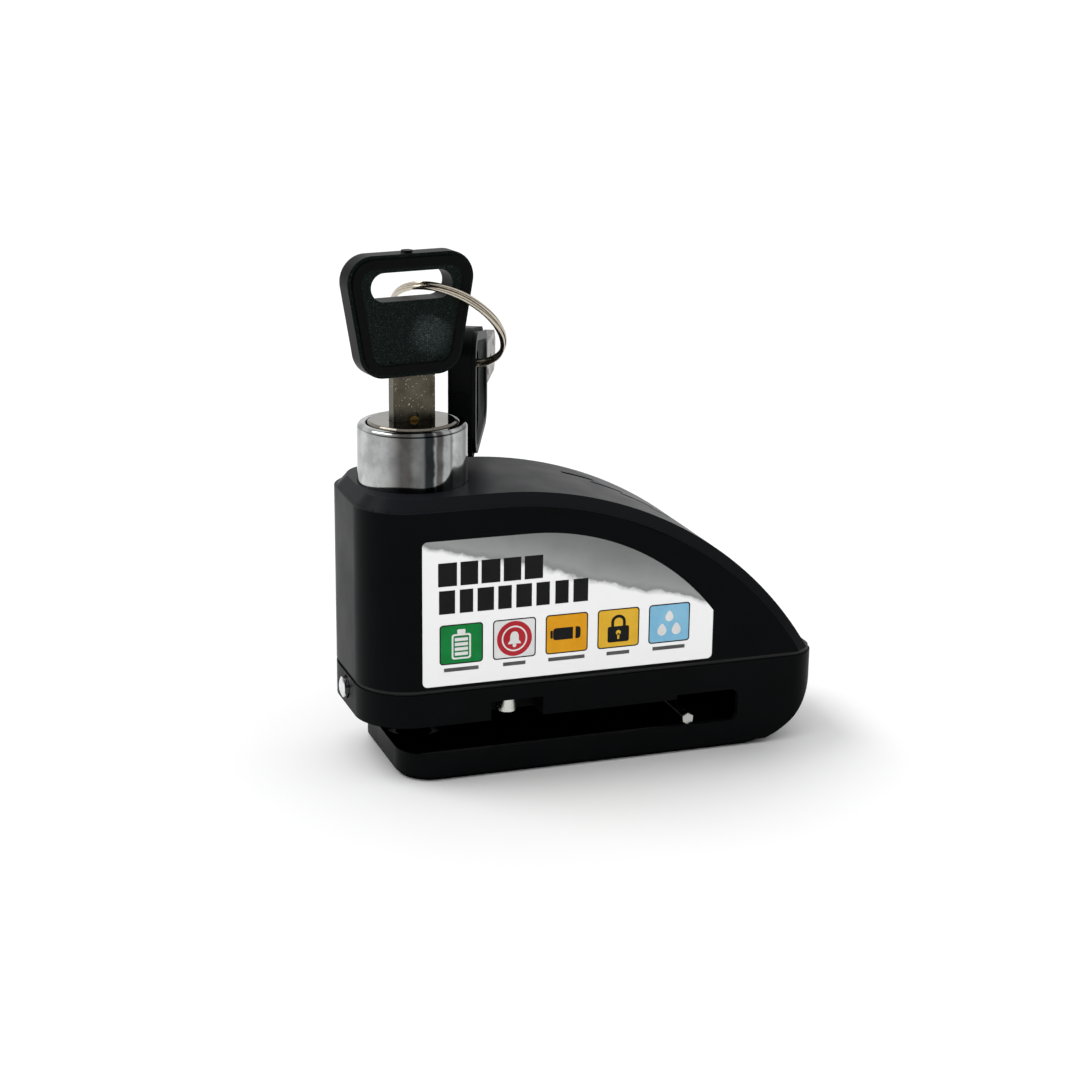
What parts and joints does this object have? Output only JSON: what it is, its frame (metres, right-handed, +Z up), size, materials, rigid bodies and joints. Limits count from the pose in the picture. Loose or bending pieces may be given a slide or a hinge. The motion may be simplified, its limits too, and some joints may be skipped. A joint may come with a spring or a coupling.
{
  "type": "alarm disc brake lock",
  "caption": "Disc brake lock with a slotted casting, a curved alarm housing, a push-down key cylinder that drives a lock pin, a key in place and a spare key on a ring.",
  "frame": {"origin": "on the lock pin's axis, at the base plane of the lower jaw", "axes": "+X from the nose to the tail, +Y to the back face, +Z up along the lock pin"},
  "size_m": [0.0944, 0.0716, 0.0994],
  "materials": {
    "casting_black": "satin powder coat",
    "cover_black": "satin coat",
    "seal_rubber": "matt",
    "plated_steel": "zinc plated",
    "hardened_steel": "ground",
    "spring_steel": "drawn wire",
    "label_film": "metallised film",
    "chrome_plate": "mirror plated",
    "nickel_silver": "rolled",
    "barrel_brass": "turned",
    "grip_plastic": "fine moulded grain",
    "inner_plastic": "moulded",
    "button_plastic": "moulded",
    "board_laminate": "solder mask",
    "contact_brass": "stamped",
    "cell_steel": "drawn can",
    "sensor_can": "drawn can"
  },
  "bodies": {
    "body": {"lock_body": "casting_black", "alarm_cover": "cover_black", "cover_seal": "seal_rubber", "cover_screws": "plated_steel", "stop_pin": "plated_steel", "guide_screw": "chrome_plate", "side_label": "label_film", "keeper": "hardened_steel", "keeper_screws": "plated_steel", "arming_switch": "inner_plastic", "circuit_board": "board_laminate", "board_screws": "plated_steel", "battery_tray": "inner_plastic", "button_cells": "cell_steel", "battery_contacts": "contact_brass", "siren": "inner_plastic", "motion_sensor": "sensor_can", "return_spring": "spring_steel"},
    "cylinder": {"cylinder_sleeve": "chrome_plate", "cylinder_barrel": "barrel_brass", "lock_pin": "hardened_steel", "switch_arm": "hardened_steel"},
    "plug": {"key_plug": "chrome_plate", "plug_wafers": "barrel_brass", "locking_cam": "hardened_steel"},
    "key": {"key_blade": "nickel_silver", "key_bow": "grip_plastic"},
    "ring": {"key_ring": "chrome_plate"},
    "spare_key": {"spare_key_blade": "nickel_silver", "spare_key_bow": "grip_plastic"},
    "switch": {"switch_plunger": "button_plastic"}
  },
  "joints": [
    {"name": "cylinder_push", "type": "slide", "parent": "body", "child": "cylinder", "axis": [0, 0, -1], "range_m": [0, 0.0105], "stiffness_N_per_m": 300, "springref_m": -0.01, "deforming": ["return_spring"]},
    {"name": "plug_turn", "type": "hinge", "parent": "cylinder", "child": "plug", "pos_m": [0, 0, 0.0673], "axis": [0, 0, 1], "range_deg": [-90, 0]},
    {"name": "key_pull", "type": "slide", "parent": "plug", "child": "key", "axis": [0, 0, 1], "range_m": [0, 0.03]},
    {"name": "ring_swing", "type": "hinge", "parent": "key", "child": "ring", "pos_m": [0.00315, 0.00018, 0.0925], "axis": [-0.6947, 0.7193, 0], "range_deg": [-15, 0]},
    {"name": "spare_slide", "type": "slide", "parent": "ring", "child": "spare_key", "axis": [0, 0, 1], "range_m": [0, 0.0105]},
    {"name": "switch_press", "type": "slide", "parent": "body", "child": "switch", "axis": [0, 0, -1], "range_m": [0, 0.001]}
  ],
  "couplings": [
    {"joint": "spare_slide", "follows": "cylinder_push", "ratio": 1},
    {"joint": "switch_press", "follows": "cylinder_push", "ratio": 0.095238}
  ]
}
